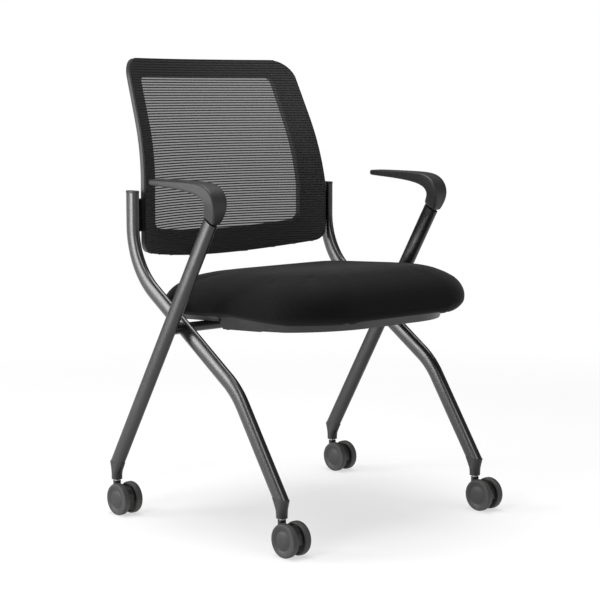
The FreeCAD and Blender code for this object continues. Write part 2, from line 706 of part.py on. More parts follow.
def pan_notches(body):
    bottom = S.pan_top - S.pan_depth
    notch = new_sketch(body, "XZ_Plane", -S.skirt_rear - S.pan_wall)
    for middle in (-S.stop_x, S.stop_x):
        left, right = middle - S.stop_thickness, middle + S.stop_thickness
        roof = S.pan_top - S.pan_plate - 1
        outline(notch, [(left, bottom - 1), (right, bottom - 1), (right, roof), (left, roof)])
    pocket(body, notch, 6 * S.pan_wall, midplane=True)


pan = seat_pan()
pan_notches(pan)
keep("seat_pan", pan)


# Hinge clamp: a ring that turns on the cross tube, under a flange that is screwed to the pan.
def hinge_clamp():
    body = new_body("hinge_clamp_left")
    in_seat(body, S.clamp_x)
    ring = new_sketch(body, "YZ_Plane")
    bore = S.cross_tube_diameter + 2 * S.running_clearance
    circle(ring, 0, 0, bore + 2 * S.clamp_ring)
    pad(body, ring, S.clamp_width, midplane=True)
    flange = new_sketch(body, "YZ_Plane")
    top, half = S.pan_top - S.pan_plate, S.clamp_flange / 2
    outline(flange, [(-half, top), (-half, top - S.clamp_wall), (half, top - S.clamp_wall), (half, top)])
    pad(body, flange, S.clamp_width, midplane=True)
    hole = new_sketch(body, "YZ_Plane")
    circle(hole, 0, 0, bore)
    pocket(body, hole)
    return keep("hinge_clamp_left", body)


mirrored("hinge_clamp_right", hinge_clamp())


# Rubber bumper on each stop arm, just under the pan.
def bumper():
    block = doc.addObject("Part::Box", "bumper_left")
    for side, size in (("Length", S.bumper_side), ("Width", S.bumper_side),
                       ("Height", S.bumper_height)):
        bind(block, side, size)
    in_seat(block, S.stop_x - S.bumper_side / 2, -S.stop_reach - S.bumper_side / 2, stop_top)
    return keep("bumper_left", block)


mirrored("bumper_right", bumper())


# Cushion: full sides drawn in at the seam, a crown on top, and a pocket for the board. Its
# round corners are short straight steps, which the ruled sides join.
CORNER_STEPS = 7


def seat_cushion():
    body = new_body("seat_cushion")
    in_seat(body)

    def layer(level, inset, rear_inset):
        half = S.cushion_half_width - inset
        front, rear = S.cushion_front + inset, S.cushion_rear - rear_inset
        big, small = S.cushion_front_radius - inset / 2, S.cushion_rear_radius - inset / 2
        middles = [(half - small, rear - small, small), (small - half, rear - small, small),
                   (big - half, front + big, big), (half - big, front + big, big)]
        corners = []
        for quarter, (x, y, radius) in enumerate(middles):
            for step in range(CORNER_STEPS + 1):
                turn = (quarter + step / CORNER_STEPS) * math.pi / 2
                corners.append((x + radius * math.cos(turn), y + radius * math.sin(turn)))
        sketch = new_sketch(body, "XY_Plane", S.pan_top + level)
        outline(sketch, corners)
        return sketch

    levels = ((0, 8, 8), (0.1, 3, 2), (0.27, 0, 0), (0.45, 1, 4), (0.62, 5, 13), (0.77, 13, 27),
              (0.88, 26, 46), (0.95, 47, 76), (1, 100, 130))
    cover = loft(body, [layer(S.cushion_height * part, *insets) for part, *insets in levels])
    cover.Ruled = True
    nest = new_sketch(body, "XY_Plane", S.pan_top)
    inset = S.board_inset - S.soft_gap
    board_outline(nest, inset)
    pocket(body, nest, S.board_thickness + S.soft_gap, reverse=True)
    return keep("seat_cushion", body)


def board_outline(sketch, inset):
    half = S.cushion_half_width - inset
    front, rear = S.cushion_front + inset, S.cushion_rear - inset
    radius = S.cushion_rear_radius - S.board_inset / 2
    outline(sketch, [(half, rear, radius), (-half, rear, radius),
                     (-half, front, radius), (half, front, radius)])


seat_cushion()


def seat_board():
    body = new_body("seat_board")
    in_seat(body)
    profile = new_sketch(body, "XY_Plane", S.pan_top)
    board_outline(profile, S.board_inset)
    pad(body, profile, S.board_thickness)
    return keep("seat_board", body)


seat_board()


# Back: everything follows one hollow surface, an upright cylinder that leans back at the top.
def back_slab(name, front, thickness):
    body = new_body(name)
    place(body, 0, S.back_centre_y - S.back_hollow_radius, 0)
    lean = number(S.back_lean)
    half_bend = Size(math.tan(math.radians(lean / 2)), "tan(Dimensions.back_lean * 0.5deg)")
    bend_z = S.back_bend_z - S.back_bend_radius * half_bend
    axis_y = S.back_hollow_radius + S.back_bend_radius
    band = (S.back_hollow_radius + front, thickness, S.back_half_width + S.tube_depth)

    lower = new_sketch(body, "XY_Plane", bend_z)
    arc_band(lower, *band)
    pad(body, lower, bend_z - S.back_bottom + S.tube_depth, reverse=True)
    bend = new_sketch(body, "XY_Plane", bend_z)
    arc_band(bend, *band)
    hinge = [Vector(side * number(S.tube_depth), number(axis_y), 0) for side in (-1, 1)]
    line = bend.addGeometry(Part.LineSegment(*hinge), True)
    bend.addConstraint(Sketcher.Constraint("Symmetric", line, 1, line, 2, -2))
    fix(bend, "DistanceX", S.tube_depth, -1, 1, line, 2)
    fix(bend, "DistanceY", axis_y, -1, 1, line, 2)
    turned = revolve(body, bend, "Axis0")
    turned.Reversed = True
    bind(turned, "Angle", S.back_lean)
    upper = new_sketch(body, "XY_Plane", bend_z, Rotation(Vector(1, 0, 0), -lean))
    swing = "Dimensions.back_lean * 1deg"
    raised = axis_y * Size(math.sin(math.radians(lean)), f"sin({swing})")
    pushed = axis_y - axis_y * Size(math.cos(math.radians(lean)), f"cos({swing})")
    bind(upper, "AttachmentOffset.Base.y", pushed)
    bind(upper, "AttachmentOffset.Base.z", bend_z + raised)
    doc.recompute()
    arc_band(upper, *band)
    pad(body, upper, S.back_top - S.back_shoulder_z)
    return body


def back_plan(name, inset, window):
    """The back's outline seen from the front, pushed through from front to rear."""
    body = new_body(name)
    place(body, 0, S.bracket_rear_y - 2 * S.tube_depth, 0)
    sketch = new_sketch(body, "XZ_Plane")
    half, top_half = S.back_half_width - inset, S.back_top_half_width - inset
    low, high = S.back_bottom + inset, S.back_top - inset
    outline(sketch, [
        (-half, low, S.back_bottom_radius), (0, low - S.bottom_bow, S.bow_radius),
        (half, low, S.back_bottom_radius), (half, S.back_shoulder_z),
        (top_half, high, S.back_top_radius), (-top_half, high, S.back_top_radius),
        (-half, S.back_shoulder_z)])
    if window:
        window_outline(sketch, 0)
    pad(body, sketch, 6 * S.tube_depth, reverse=True)
    return body


def window_outline(sketch, inset):
    half, top_half = S.window_half_width - inset, S.window_top_half_width - inset
    low, high = S.window_bottom + inset, S.window_top - inset
    outline(sketch, [
        (-half, low, S.window_radius), (0, low - S.bottom_bow, S.bow_radius * 0.7),
        (half, low, S.window_radius), (half, S.back_shoulder_z),
        (top_half, high, S.window_radius), (-top_half, high, S.window_radius),
        (-half, S.back_shoulder_z)])


keep("back_frame", joined("Common", "back_frame",
                          back_slab("back_slab", S.mesh_thickness, S.back_frame_thickness),
                          back_plan("back_plan", 0, True)))


def back_bracket():
    block = doc.addObject("Part::Box", "bracket_block")
    bind(block, "Length", leg_face_x - S.bracket_inner_x)
    bind(block, "Width", 2 * S.tube_depth)
    bind(block, "Height", S.bracket_height)
    place(block, S.bracket_inner_x, S.bracket_rear_y - 2 * S.tube_depth, S.bracket_z)
    bowl = doc.addObject("Part::Cylinder", "bracket_bowl")
    bind(bowl, "Radius", S.back_hollow_radius + S.mesh_thickness + S.back_frame_thickness)
    bind(bowl, "Height", S.bracket_height)
    place(bowl, 0, S.back_centre_y - S.back_hollow_radius, S.bracket_z)
    return keep("back_bracket_left", joined("Cut", "back_bracket_left", block, bowl))


mirrored("back_bracket_right", back_bracket())


# Mesh: one thin sheet over the front of the back frame.
keep("back_mesh", joined("Common", "back_mesh", back_slab("mesh_slab", 0, S.mesh_thickness),
                         back_plan("mesh_plan", 0, False)))

# Nothing is written unless every object is sound.
doc.recompute()
for item in doc.Objects:
    if "Invalid" in item.State or "Error" in item.State:
        raise RuntimeError(f"{item.Label} failed: {item.State}")
for name, item in parts.items():
    if item.Shape.isNull() or not item.Shape.isValid() or len(item.Shape.Solids) != 1:
        raise RuntimeError(f"{name} is not one sound solid")
os.makedirs("parts", exist_ok=True)
for name, item in parts.items():
    item.Shape.exportStep(f"parts/{name}.step")
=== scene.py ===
import math

import bmesh
import bpy
from mathutils import Matrix, Vector


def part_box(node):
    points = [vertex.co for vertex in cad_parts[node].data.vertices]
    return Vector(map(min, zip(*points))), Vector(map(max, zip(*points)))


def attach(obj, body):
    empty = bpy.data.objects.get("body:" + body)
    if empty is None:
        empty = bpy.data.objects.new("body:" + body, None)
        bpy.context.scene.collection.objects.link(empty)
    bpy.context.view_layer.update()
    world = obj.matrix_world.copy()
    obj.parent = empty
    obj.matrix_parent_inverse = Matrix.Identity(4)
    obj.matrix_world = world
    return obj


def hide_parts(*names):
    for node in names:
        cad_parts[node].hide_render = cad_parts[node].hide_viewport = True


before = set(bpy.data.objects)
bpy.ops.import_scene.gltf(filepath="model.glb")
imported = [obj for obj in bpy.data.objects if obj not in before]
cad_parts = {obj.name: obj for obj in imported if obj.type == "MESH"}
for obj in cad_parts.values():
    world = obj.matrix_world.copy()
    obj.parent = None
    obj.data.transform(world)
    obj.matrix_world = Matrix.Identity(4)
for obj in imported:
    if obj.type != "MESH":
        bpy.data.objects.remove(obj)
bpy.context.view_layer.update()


# Bent side tubes: one flat-oval steel tube a side in gloss black enamel. It stands upright
# behind the back, bends forward under the seat and down to the front foot, where a plastic
# socket closes it.
def blank_material(name):
    material = bpy.data.materials.new(name)
    material.use_nodes = True
    nodes, links = material.node_tree.nodes, material.node_tree.links
    return material, nodes, links, nodes["Principled BSDF"]


def noise_field(nodes, links, size, detail):
    place = nodes.new("ShaderNodeTexCoord")
    noise = nodes.new("ShaderNodeTexNoise")
    noise.inputs["Scale"].default_value = 1 / size
    noise.inputs["Detail"].default_value = detail
    links.new(place.outputs["Object"], noise.inputs["Vector"])
    return noise.outputs["Fac"]


def grain(nodes, links, shader, size, depth, detail=3.0):
    """A fine uneven surface on the shader's normal."""
    bump = nodes.new("ShaderNodeBump")
    bump.inputs["Strength"].default_value = depth
    bump.inputs["Distance"].default_value = 0.0002
    links.new(noise_field(nodes, links, size, detail), bump.inputs["Height"])
    links.new(bump.outputs["Normal"], shader.inputs["Normal"])


def mottle(nodes, links, size, dark, light, target, detail=2.0):
    """Slow variation between two values or colours."""
    ramp = nodes.new("ShaderNodeValToRGB")
    ramp.color_ramp.elements[0].position = 0.35
    ramp.color_ramp.elements[1].position = 0.65
    for element, value in zip(ramp.color_ramp.elements, (dark, light)):
        element.color = (*value, 1) if isinstance(value, tuple) else (value, value, value, 1)
    links.new(noise_field(nodes, links, size, detail), ramp.inputs["Fac"])
    links.new(ramp.outputs["Color"], target)


def tube_paint(name, dark, light, rough_low, rough_high, coat):
    """Enamel on steel, a little uneven."""
    material, nodes, links, paint = blank_material(name)
    mottle(nodes, links, 0.05, dark, light, paint.inputs["Base Color"])
    mottle(nodes, links, 0.02, rough_low, rough_high, paint.inputs["Roughness"])
    paint.inputs["Coat Weight"].default_value = coat
    paint.inputs["Coat Roughness"].default_value = 0.22
    grain(nodes, links, paint, 0.03, 0.012, detail=0.0)
    return material


def add_piece(name, bm, material, body, angle=35):
    """Turns a finished bmesh into a piece that rides on a body."""
    bmesh.ops.remove_doubles(bm, verts=bm.verts, dist=0.000005)
    bmesh.ops.recalc_face_normals(bm, faces=bm.faces)
    mesh = bpy.data.meshes.new(name)
    bm.to_mesh(mesh)
    bm.free()
    mesh.materials.append(material)
    mesh.shade_smooth()
    mesh.set_sharp_from_angle(angle=math.radians(angle))
    obj = bpy.data.objects.new(name, mesh)
    bpy.context.scene.collection.objects.link(obj)
    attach(obj, body)
    return obj


def flat_oval(share, long, wide, power=0.84):
    """A point round a full, slightly flattened oval."""
    turn = share * 2 * math.pi
    far, near = math.cos(turn), math.sin(turn)
    return (math.copysign(abs(far) ** power, far) * long / 2,
            math.copysign(abs(near) ** power, near) * wide / 2)


def tube_path(start, bends, end):
    """Points of a bent path; each bend is a corner and its radius."""
    corners = [start] + [corner for corner, radius in bends] + [end]
    path = [start]
    for before, (here, radius), after in zip(corners, bends, corners[2:]):
        come = (here - before).normalized()
        leave = (after - here).normalized()
        bend = come.angle(leave)
        reach = radius * math.tan(bend / 2)
        centre = here + (leave - come).normalized() * (radius / math.cos(bend / 2))
        axis = come.cross(leave).normalized()
        spoke = here - come * reach - centre
        for step in range(BEND_STEPS + 1):
            path.append(centre + Matrix.Rotation(bend * step / BEND_STEPS, 3, axis) @ spoke)
    path.append(end)
    return path


def sweep_tube(bm, path, long, wide, level_ends=()):
    """A flat-oval tube along a path in a plane across X; some ends are cut level."""
    last = len(path) - 1
    made = bmesh.ops.create_grid(bm, x_segments=last, y_segments=AROUND, size=1.0)["verts"]
    for v in made:
        index = round((v.co.x + 1) / 2 * last)
        far, near = flat_oval((v.co.y + 1) / 2, long, wide)
        along = (path[min(index + 1, last)] - path[max(index - 1, 0)]).normalized()
        across = Vector((1, 0, 0))
        corner = path[index] + along.cross(across).normalized() * far + across * near
        if index in level_ends:
            corner -= along * ((corner - path[index]).z / along.z)
        v.co = corner
    bmesh.ops.remove_doubles(bm, verts=made, dist=0.00001)
    bmesh.ops.holes_fill(bm, edges=[e for e in bm.edges if e.is_boundary], sides=0)


SIDES = ((1, "left"), (-1, "right"))
BEND_STEPS = 32
AROUND = 48
TUBE_LONG = 0.032
TUBE_WIDE = 0.016
SIDE_TUBE_X = 0.2465
UPRIGHT_Y = 0.201
UPRIGHT_TOP = 0.603
UPPER_BEND = (0.4655, 0.142)
LOWER_BEND = (-0.0975, 0.268, 0.148)
FOOT_Y = 0.2136
FOOT_Z = 0.0955
gloss_black = tube_paint("gloss_black_enamel", (0.005, 0.005, 0.006), (0.008, 0.008, 0.009),
                         0.27, 0.33, 0.5)
for side, name in SIDES:
    x = side * SIDE_TUBE_X
    upper_z, upper_radius = UPPER_BEND
    lower_y, lower_z, lower_radius = LOWER_BEND
    path = tube_path(Vector((x, UPRIGHT_Y, UPRIGHT_TOP)),
                     ((Vector((x, UPRIGHT_Y, upper_z)), upper_radius),
                      (Vector((x, lower_y, lower_z)), lower_radius)),
                     Vector((x, -FOOT_Y, FOOT_Z)))
    bm = bmesh.new()
    sweep_tube(bm, path, TUBE_LONG, TUBE_WIDE, (0, len(path) - 1))
    side_tube = add_piece(f"side_tube_{name}", bm, gloss_black, "frame")
    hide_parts(f"front_leg_{name}")


# Straight rear tubes: the same flat-oval steel in satin dark grey paint, one a side. Each
# rises outside the bent tube from the rear foot to the armrest that is pushed on its top.
REAR_FOOT_X = 0.2796
REAR_INWARDS = 0.0021
REAR_RUN = 0.2796
REAR_RISE = 0.4690
REAR_STEPS = 24
satin_grey = tube_paint("satin_grey_enamel", (0.006, 0.006, 0.007), (0.010, 0.010, 0.011),
                        0.30, 0.36, 0.2)
for side, name in SIDES:
    path = [Vector((side * (REAR_FOOT_X - REAR_INWARDS * step / REAR_STEPS),
                    FOOT_Y - REAR_RUN * step / REAR_STEPS,
                    FOOT_Z + REAR_RISE * step / REAR_STEPS)) for step in range(REAR_STEPS + 1)]
    bm = bmesh.new()
    sweep_tube(bm, path, TUBE_LONG, TUBE_WIDE, (0,))
    rear_tube = add_piece(f"rear_tube_{name}", bm, satin_grey, "frame")
    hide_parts(f"rear_leg_{name}")


# Crossing spacers: a short round steel boss, welded between the two tubes of a side where
# they cross, in the gloss enamel of the bent tube.
SPACER_RADIUS = 0.011
SPACER_LENGTH = 0.017
SPACER_PLACE = (0.2626, 0.050, 0.3656)
for side, name in SIDES:
    bm = bmesh.new()
    bmesh.ops.create_cone(bm, cap_ends=True, segments=40, radius1=SPACER_RADIUS,
                          radius2=SPACER_RADIUS, depth=SPACER_LENGTH)
    bmesh.ops.rotate(bm, verts=bm.verts, matrix=Matrix.Rotation(math.pi / 2, 3, "Y"))
    x, y, z = SPACER_PLACE
    bmesh.ops.translate(bm, verts=bm.verts, vec=(side * x, y, z))
    add_piece(f"crossing_spacer_{name}", bm, gloss_black, "frame")


# Upright caps: a flat plug of matt black plastic, pressed into the top of each upright. Its
# rim covers the cut edge of the tube and is rounded.
CAP_LOW = 0.6025
CAP_TOP = 0.6070
CAP_OVER = 0.0006
moulded_black, nodes, links, moulded = blank_material("socket_moulding")
moulded.inputs["Roughness"].default_value = 0.45
mottle(nodes, links, 0.03, (0.010, 0.010, 0.011), (0.015, 0.015, 0.016),
       moulded.inputs["Base Color"])
grain(nodes, links, moulded, 0.0007, 0.12)
for side, name in SIDES:
    bm = bmesh.new()
    sweep_tube(bm, [Vector((side * SIDE_TUBE_X, UPRIGHT_Y, z)) for z in (CAP_LOW, CAP_TOP)],
               TUBE_LONG + CAP_OVER, TUBE_WIDE + CAP_OVER)
    bmesh.ops.bevel(bm, geom=[e for e in bm.edges if e.calc_face_angle(0) > 1.0],
                    offset=0.0012, affect="EDGES", segments=3, profile=0.5, material=-1)
    add_piece(f"upright_cap_{name}", bm, moulded_black, "frame")


# Sockets: a matt black moulding on each foot, oval where it takes the tube and round at its
# neck, where the caster's stem goes in.
def ring_of(bm, points):
    """A closed ring of vertices and edges."""
    corners = [bm.verts.new(p) for p in points]
    return [bm.edges.new((a, b)) for a, b in zip(corners, corners[1:] + corners[:1])]


def bridge(bm, first, second):
    bmesh.ops.bridge_loops(bm, edges=first + second)


# height, length, width and distance fore or aft of the chair's middle
SOCKET_LEVELS = ((0.0630, 0.0190, 0.0190, 0.2162), (0.0700, 0.0196, 0.0190, 0.2162),
                 (0.0760, 0.0212, 0.0190, 0.2160), (0.0800, 0.0246, 0.0186, 0.2155),
                 (0.0945, 0.0388, 0.0172, 0.2136), (0.0963, 0.0396, 0.0172, 0.2135))
for side, name in SIDES:
    for end, foot_x, end_way in (("front", SIDE_TUBE_X, -1), ("rear", REAR_FOOT_X, 1)):
        bm = bmesh.new()
        rings = []
        for z, long, wide, y in SOCKET_LEVELS:
            ovals = [flat_oval(step / AROUND, long, wide) for step in range(AROUND)]
            rings.append(ring_of(bm, [(side * foot_x + near, end_way * y + far, z)
                                      for far, near in ovals]))
        for first, second in zip(rings, rings[1:]):
            bridge(bm, first, second)
        for ring in (rings[0], rings[-1]):
            bmesh.ops.contextual_create(bm, geom=ring)
        add_piece(f"{end}_socket_{name}", bm, moulded_black, "frame", 50)


# Armrest screws: one small black button head a side, on the inner face of the rear tube just
# under the armrest, which it holds.
SCREW_PLACE = (0.2689, -0.0568, 0.5495)
for side, name in SIDES:
    bm = bmesh.new()
    bmesh.ops.create_cone(bm, cap_ends=True, segments=32, radius1=0.0036, radius2=0.0030,
                          depth=0.0016)
    bmesh.ops.rotate(bm, verts=bm.verts,
                     matrix=Matrix.Rotation(-side * math.pi / 2, 3, "Y"))
    x, y, z = SCREW_PLACE
    bmesh.ops.translate(bm, verts=bm.verts, vec=(side * x, y, z))
    add_piece(f"arm_screw_{name}", bm, moulded_black, "frame")


# Cross tube with its two stop arms, back brackets and hinge clamps: steel in satin black
# paint, welded or bolted to the side tubes. The shapes are the part's own.
def plain_finish(name, dark, light, roughness, grain_size, depth):
    material, nodes, links, shader = blank_material(name)
    shader.inputs["Roughness"].default_value = roughness
    mottle(nodes, links, 0.03, dark, light, shader.inputs["Base Color"])
    grain(nodes, links, shader, grain_size, depth)
    return material


def dress(node, material, angle=32):
    """Gives a CAD node its finish, with smooth round faces and crisp edges."""
    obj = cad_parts[node]
    obj.data.materials.clear()
    obj.data.materials.append(material)
    normals = obj.data.attributes.get("custom_normal")
    if normals:
        obj.data.attributes.remove(normals)
    obj.data.shade_smooth()
    weld = obj.modifiers.new("weld", "WELD")
    weld.merge_threshold = 0.00001
    crease = obj.modifiers.new("crease", "EDGE_SPLIT")
    crease.split_angle = math.radians(angle)


satin_black = plain_finish("satin_black_paint", (0.012, 0.012, 0.013), (0.018, 0.018, 0.019),
                           0.34, 0.001, 0.05)
dress("cross_tube", satin_black)
for side, name in SIDES:
    dress(f"back_bracket_{name}", satin_black)
    dress(f"hinge_clamp_{name}", satin_black)


# Bumpers: soft black rubber buttons on the ends of the stop arms. The lowered seat rests on
# them. The shapes are the part's own.
rubber = plain_finish("bumper_rubber", (0.010, 0.010, 0.010), (0.016, 0.016, 0.016),
                      0.75, 0.0006, 0.2)
for side, name in SIDES:
    dress(f"bumper_{name}", rubber)


# Back frame: one dark grey plastic moulding behind the mesh, hollow from side to side and
# leaning back above the lumbar bend, bolted to the brackets on the uprights. Its edges are
# rounded.
HOLLOW = 0.400
BACK_CENTRE = 0.2555
BEND_RADIUS = 0.350
LEAN = math.radians(20.3)
BEND_START = 0.660 - BEND_RADIUS * math.tan(LEAN / 2)
BEND_AXIS = BACK_CENTRE + BEND_RADIUS
SHOULDER = 0.600
MESH_THICK = 0.0016
FRAME_THICK = 0.013
SKIN_GAP = 0.0001
SEARCH_STEP = 0.0005


def on_back(x, z, depth):
    """The point of the back at a place across and a height, some way behind its front."""
    reach = math.sqrt((HOLLOW + depth) ** 2 - x * x)
    arm = BEND_AXIS - (BACK_CENTRE - HOLLOW + reach)
    rise = z - BEND_START
    if rise <= 0:
        return Vector((x, BEND_AXIS - arm, z))
    swing = math.asin(rise / arm)
    if swing <= LEAN:
        return Vector((x, BEND_AXIS - arm * math.cos(swing), z))
    along = (rise - arm * math.sin(LEAN)) / math.cos(LEAN)
    return Vector((x, BEND_AXIS - arm * math.cos(LEAN) + along * math.sin(LEAN), z))


class Outline:
    """A rounded outline of the back, seen from the front."""

    def __init__(self, half, top_half, low, high, bow, low_radius, high_radius):
        self.half, self.low, self.high, self.bow = half, low, high, bow
        self.low_radius, self.high_radius = low_radius, high_radius
        self.draw_in = (half - top_half) / (high - SHOULDER)
        self.corner = top_half + high_radius * self.draw_in

    def bottom(self, x):
        over = max(0.0, abs(x) - self.half + self.low_radius)
        lift = self.low_radius - math.sqrt(max(0.0, self.low_radius ** 2 - over ** 2))
        return self.low - self.bow * (1 - (x / self.half) ** 2) + lift

    def top(self, x):
        if abs(x) > self.corner:
            return self.high - self.high_radius - (abs(x) - self.corner) / self.draw_in
        over = max(0.0, abs(x) - self.corner + self.high_radius)
        return self.high - self.high_radius + math.sqrt(self.high_radius ** 2 - over ** 2)

    def half_at(self, z):
        """Half the width at a height."""
        x = self.half
        while x > 0 and not self.bottom(x) <= z <= self.top(x):
            x -= SEARCH_STEP
        return x

    def loop(self):
        """Points round the outline, always the same number, from the bottom's middle."""
        right = []
        for step in range(16):
            x = (self.half - self.low_radius) * step / 15
            right.append((x, self.bottom(x)))
        for step in range(1, 9):
            turn = step / 8 * math.pi / 2
            x = self.half - self.low_radius + self.low_radius * math.sin(turn)
            right.append((x, self.bottom(x)))
        start = right[-1][1]
        for step in range(1, 9):
            right.append((self.half, start + (SHOULDER - start) * step / 8))
        end = self.high - self.high_radius
        for step in range(1, 15):
            z = SHOULDER + (end - SHOULDER) * step / 14
            right.append((self.half - (z - SHOULDER) * (self.half - self.corner)
                          / (end - SHOULDER), z))
        for step in range(1, 9):
            turn = step / 8 * math.pi / 2
            right.append((self.corner - self.high_radius * (1 - math.cos(turn)),
                          end + self.high_radius * math.sin(turn)))
        for step in range(1, 13):
            right.append(((self.corner - self.high_radius) * (1 - step / 12), self.high))
        return right + [(-x, z) for x, z in right[-2:0:-1]]


# half width, half width at the top, lower and upper edge, sag of the lower edge, corner radii
cloth_edge = Outline(0.2293, 0.2048, 0.4912, 0.8538, 0.0210, 0.020, 0.042)
frame_edge = Outline(0.2283, 0.2038, 0.4922, 0.8528, 0.0210, 0.019, 0.041)
window_edge = Outline(0.184, 0.167, 0.533, 0.818, 0.0135, 0.014, 0.014)


def back_ring(bm, edge, depth):
    return ring_of(bm, [on_back(x, z, depth) for x, z in edge.loop()])


back_plastic = plain_finish("back_moulding", (0.022, 0.022, 0.024), (0.028, 0.028, 0.030),
                            0.42, 0.0008, 0.08)
bm = bmesh.new()
front_depth = MESH_THICK + SKIN_GAP
rear_depth = MESH_THICK + FRAME_THICK - SKIN_GAP
rings = [back_ring(bm, frame_edge, front_depth), back_ring(bm, frame_edge, rear_depth),
         back_ring(bm, window_edge, rear_depth), back_ring(bm, window_edge, front_depth)]
for first, second in zip(rings, rings[1:] + rings[:1]):
    bridge(bm, first, second)
moulding = add_piece("back_moulding", bm, back_plastic, "frame")
rounding = moulding.modifiers.new("rounding", "BEVEL")
rounding.width = 0.003
rounding.segments = 3
rounding.limit_method = "ANGLE"
rounding.angle_limit = math.radians(50)
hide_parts("back_frame")


# Back mesh: black ribbed cloth, stretched over the moulding. Each rib is a flat yarn across
# the back, a sheer web of fine yarns joins the ribs, and a hem wraps the outer edge.
COLUMNS = 72
WEB_ROWS = 90
FIRST_RIB = 0.4725
LAST_RIB = 0.8530
RIB_INSET = 0.0008
SHORTEST_RIB = 0.02
RIB_SIDES = 6
RIB_PITCH = 0.005
RIB_HIGH = 0.0026
RIB_DEEP = 0.0014

rib_black, nodes, links, shader = blank_material("rib_yarn")
shader.inputs["Roughness"].default_value = 0.6
shader.inputs["Specular IOR Level"].default_value = 0.2
mottle(nodes, links, 0.004, (0.006, 0.006, 0.006), (0.011, 0.011, 0.011),
       shader.inputs["Base Color"])
grain(nodes, links, shader, 0.0007, 0.5)

sheer_web, nodes, links, shader = blank_material("sheer_web")
shader.inputs["Roughness"].default_value = 0.7
shader.inputs["Base Color"].default_value = (0.03, 0.03, 0.031, 1)
place = nodes.new("ShaderNodeTexCoord")
yarns = nodes.new("ShaderNodeTexWave")
yarns.wave_type = "BANDS"
yarns.bands_direction = "X"
yarns.inputs["Scale"].default_value = 1 / 0.0032
yarns.inputs["Distortion"].default_value = 0.6
links.new(place.outputs["Object"], yarns.inputs["Vector"])
cover = nodes.new("ShaderNodeMapRange")
cover.inputs["To Min"].default_value = 0.62
cover.inputs["To Max"].default_value = 0.86
links.new(yarns.outputs["Fac"], cover.inputs["Value"])
links.new(cover.outputs["Result"], shader.inputs["Alpha"])

bm = bmesh.new()
bmesh.ops.create_grid(bm, x_segments=COLUMNS, y_segments=WEB_ROWS, size=1.0)
for v in bm.verts:
    x = cloth_edge.half * math.sin(v.co.x * math.pi / 2)
    low, high = cloth_edge.bottom(x), cloth_edge.top(x)
    v.co = on_back(x, low + (high - low) * (v.co.y + 1) / 2, MESH_THICK / 2)
web = add_piece("mesh_web", bm, sheer_web, "frame")
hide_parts("back_mesh")

bm = bmesh.new()
z = FIRST_RIB
while z < LAST_RIB:
    half = cloth_edge.half_at(z) - RIB_INSET
    if half > SHORTEST_RIB:
        rib = bmesh.ops.create_grid(bm, x_segments=COLUMNS, y_segments=RIB_SIDES, size=1.0)
        for v in rib["verts"]:
            turn = (v.co.y + 1) * math.pi
            full = 0.0 if abs(v.co.x) > 0.999 else 0.5
            x = half * math.sin(v.co.x * math.pi / 2)
            v.co = on_back(x, z + math.sin(turn) * RIB_HIGH * full,
                           MESH_THICK / 2 + math.cos(turn) * RIB_DEEP * full)
    z += RIB_PITCH
bmesh.ops.remove_doubles(bm, verts=bm.verts, dist=0.00001)
add_piece("mesh_ribs", bm, rib_black, "frame", 80)

bm = bmesh.new()
hem = [back_ring(bm, frame_edge, 0.0004), back_ring(bm, cloth_edge, 0.0006),
       back_ring(bm, cloth_edge, 0.0048), back_ring(bm, frame_edge, 0.0050)]
for first, second in zip(hem, hem[1:] + hem[:1]):
    bridge(bm, first, second)
add_piece("mesh_hem", bm, rib_black, "frame", 80)


# Seat pan: one dark grey plastic moulding under the cushion, with a deep skirt in front of
# the hinge, a finger scoop in each side and a shallow deck behind the hinge. It is screwed
# to the hinge clamps.
SEAT_TILT = math.radians(3)
HINGE = Vector((0, 0.050, 0.36559))
PAN_TOP = 0.0195
PAN_FRONT = -0.299
SKIRT_REAR = -0.056
PAN_HALF = 0.2128
PAN_CORNER = 0.150
PAN_WALL = 0.003
PAN_DRAFT = 0.009
SKIRT_LOW = -0.004
PAN_PLATE = 0.004
PAN_LIP = 0.0085
SCOOP_PLACE = -0.186
SCOOP_HALF = 0.018
SCOOP_HIGH = 0.006


def in_seat(x, v, w):
    """A point by its seat coordinates: across, behind the hinge, above the hinge."""
    return HINGE + Vector((x, v * math.cos(SEAT_TILT) + w * math.sin(SEAT_TILT),
                           w * math.cos(SEAT_TILT) - v * math.sin(SEAT_TILT)))


def pan_plan(half, front, rear, front_radius):
    """Round the pan in plan, from the rear on the left, with many points along the sides."""
    right = []
    straight = front + front_radius
    for step in range(31):
        right.append((half, rear + (straight - rear) * step / 30))
    for step in range(1, 19):
        turn = step / 18 * math.pi / 2
        right.append((half - front_radius * (1 - math.cos(turn)),
                      straight - front_radius * math.sin(turn)))
    return right + [(-x, v) for x, v in right[::-1]]


def scoop_lift(v):
    """How far the skirt's lower edge rises over a finger scoop."""
    reach = abs(v - SCOOP_PLACE) / SCOOP_HALF
    return SCOOP_HIGH * max(0.0, 1 - reach ** 4)


pan_grey = plain_finish("pan_moulding", (0.012, 0.012, 0.013), (0.017, 0.017, 0.018),
                        0.40, 0.0009, 0.1)


def skirt_ring(bm, inset, level, lift):
    """One ring of the skirt; a lower edge is lifted over the scoops."""
    plan = pan_plan(PAN_HALF - inset, PAN_FRONT + inset, SKIRT_REAR - inset * 0.3,
                    PAN_CORNER - inset)
    return ring_of(bm, [in_seat(x, v, level + (scoop_lift(v) if lift else 0)) for x, v in plan])


